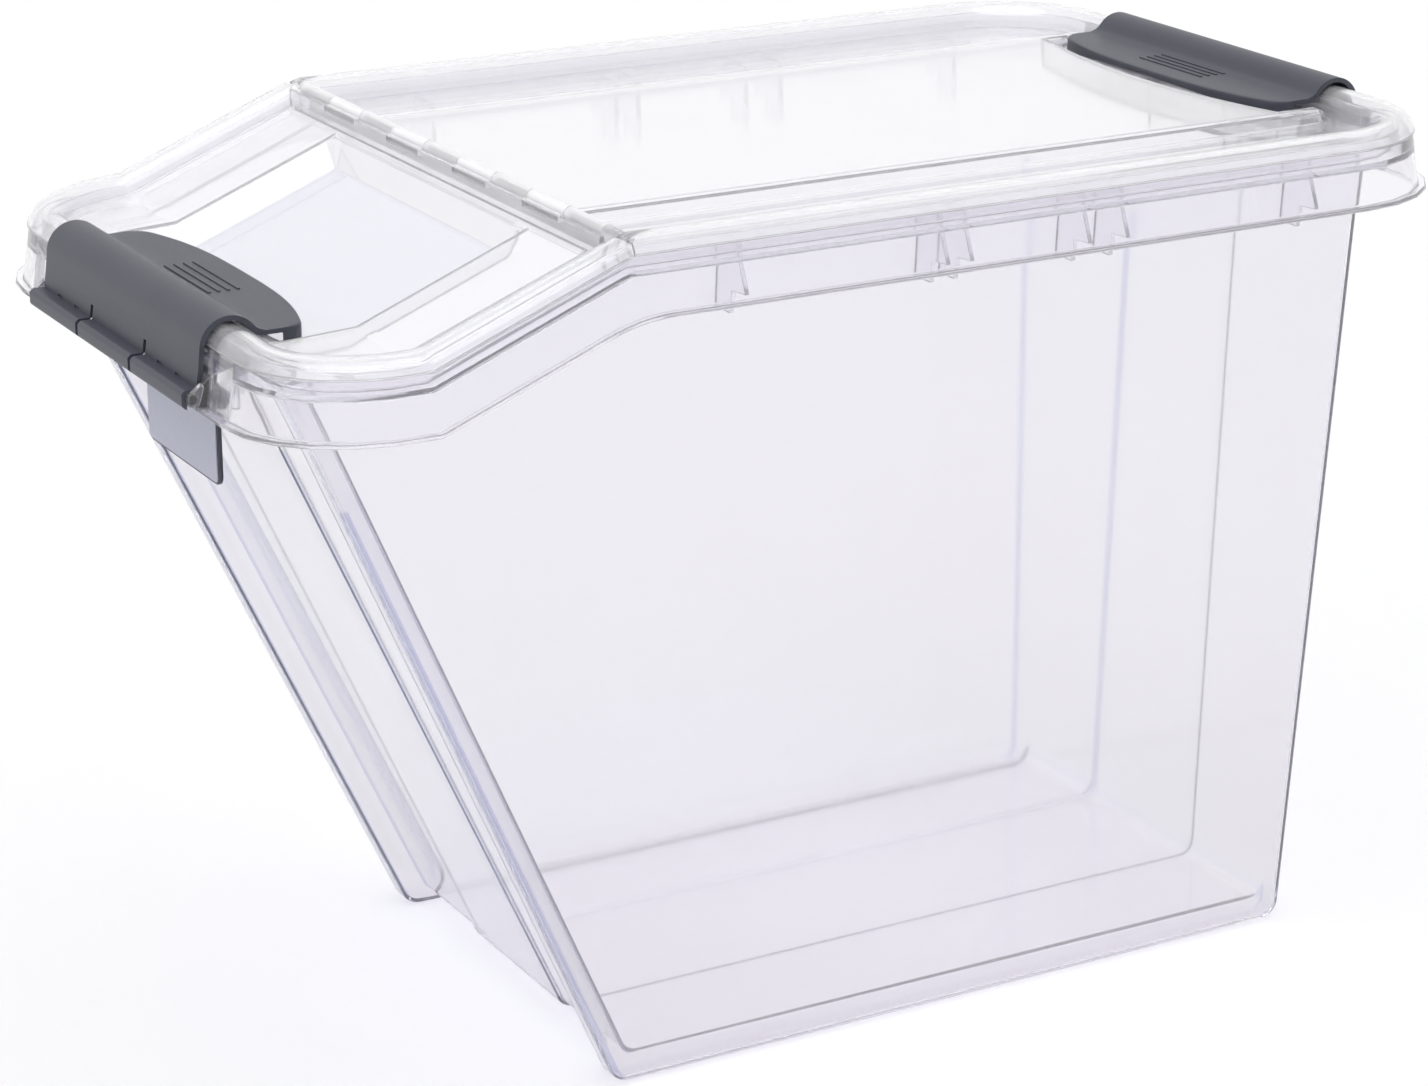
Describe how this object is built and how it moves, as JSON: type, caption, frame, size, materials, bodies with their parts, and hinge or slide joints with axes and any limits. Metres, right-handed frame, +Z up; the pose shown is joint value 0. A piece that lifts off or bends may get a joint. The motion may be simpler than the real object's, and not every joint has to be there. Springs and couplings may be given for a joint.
{
  "type": "slanted storage bin",
  "caption": "Clear plastic storage bin with a slanted front, a lid whose sloping front half folds up, grey snap clips at both ends and a hanging label plate.",
  "frame": {"origin": "middle of the bin's footprint, on the floor it stands on", "axes": "+X to one long side (the bin is symmetric in X), -Y to the slanted front, +Z up"},
  "size_m": [0.328, 0.548, 0.3736],
  "materials": {
    "clear_polypropylene": "clear, slightly cloudy, glossy",
    "grey_polypropylene": "satin",
    "label_card": "satin"
  },
  "bodies": {
    "tub": {"tub": "clear_polypropylene", "label_plate": "grey_polypropylene", "label_card": "label_card"},
    "lid": {"rear_lid": "clear_polypropylene"},
    "flap": {"front_flap": "clear_polypropylene"},
    "front_clip": {"front_clip": "grey_polypropylene"},
    "rear_clip": {"rear_clip": "grey_polypropylene"}
  },
  "joints": [
    {"name": "lid_lift", "type": "slide", "parent": "tub", "child": "lid", "axis": [0, 0, 1], "range_m": [0, 0.3]},
    {"name": "flap_fold", "type": "hinge", "parent": "lid", "child": "flap", "pos_m": [0, -0.126, 0.3675], "axis": [-1, 0, 0], "range_deg": [0, 110]},
    {"name": "front_clip_turn", "type": "hinge", "parent": "tub", "child": "front_clip", "pos_m": [0, -0.27, 0.3096], "axis": [1, 0, 0], "range_deg": [0, 120]},
    {"name": "rear_clip_turn", "type": "hinge", "parent": "tub", "child": "rear_clip", "pos_m": [0, 0.27, 0.344], "axis": [-1, 0, 0], "range_deg": [0, 120]}
  ]
}
